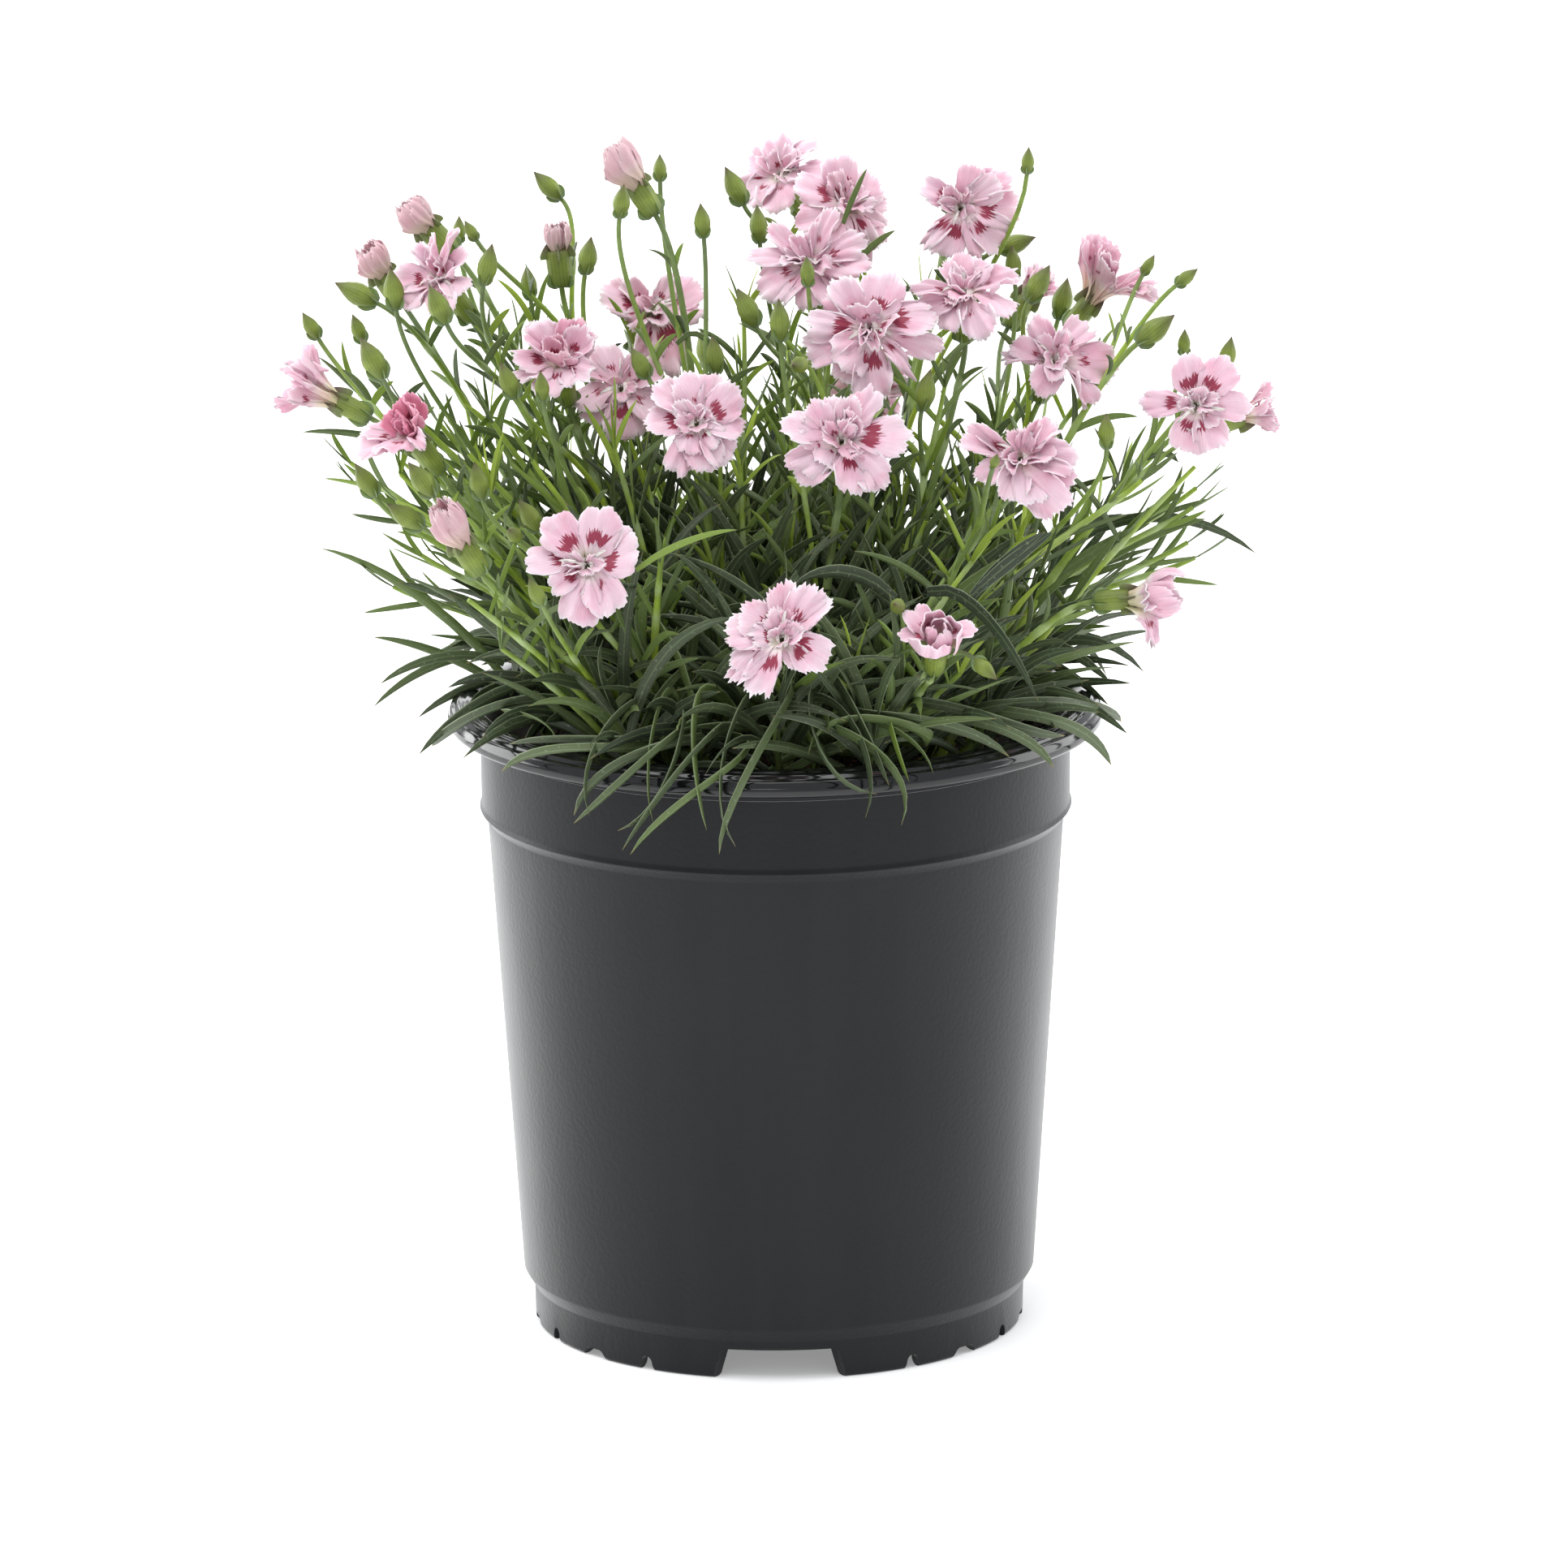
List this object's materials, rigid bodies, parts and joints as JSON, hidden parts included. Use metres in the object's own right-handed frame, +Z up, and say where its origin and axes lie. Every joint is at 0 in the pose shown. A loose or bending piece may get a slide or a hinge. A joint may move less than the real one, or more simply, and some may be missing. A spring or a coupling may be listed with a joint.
{
  "type": "potted dianthus plant",
  "caption": "Dianthus with pink serrated blooms, pointed buds and narrow blue-green leaves, growing in a black plastic nursery pot.",
  "frame": {"origin": "on the pot's axis, at the surface that the pot stands on", "axes": "+Z up along the pot's axis; -Y towards the side that the picture shows; +X to that viewer's right"},
  "size_m": [0.2607, 0.1927, 0.3022],
  "materials": {
    "pot": "satin",
    "mix": "matte",
    "leaf": "matte",
    "stem": "satin",
    "petal": "matte"
  },
  "bodies": {
    "root": {"nursery_pot": "pot", "potting_mix": "mix", "foliage": "leaf", "spray_01": "stem", "spray_02": "stem", "spray_03": "stem", "spray_04": "stem", "spray_05": "stem", "spray_06": "stem", "spray_07": "stem", "spray_08": "stem", "spray_09": "stem", "spray_10": "stem", "spray_11": "stem", "spray_12": "stem", "spray_13": "stem", "spray_14": "stem", "spray_15": "stem", "spray_16": "stem", "spray_17": "stem", "spray_18": "stem", "spray_19": "stem", "spray_20": "stem", "spray_21": "stem", "spray_22": "stem", "spray_23": "stem", "spray_24": "stem", "spray_25": "stem", "spray_26": "stem", "spray_27": "stem", "petal_tip_02": "petal", "petal_tip_03": "petal", "petal_tip_06": "petal", "petal_tip_09": "petal", "petal_tip_10": "petal", "bloom_01": "petal", "bloom_04": "petal", "bloom_05": "petal", "bloom_07": "petal", "bloom_08": "petal", "bloom_11": "petal", "bloom_12": "petal", "bloom_13": "petal", "bloom_14": "petal", "bloom_15": "petal", "bloom_16": "petal", "bloom_17": "petal", "bloom_18": "petal", "bloom_19": "petal", "bloom_20": "petal", "bloom_21": "petal", "bloom_22": "petal", "bloom_23": "petal", "bloom_24": "petal", "bloom_25": "petal", "bloom_26": "petal", "bloom_27": "petal", "bloom_28": "petal", "bloom_29": "petal", "bloom_30": "petal"}
  },
  "joints": []
}
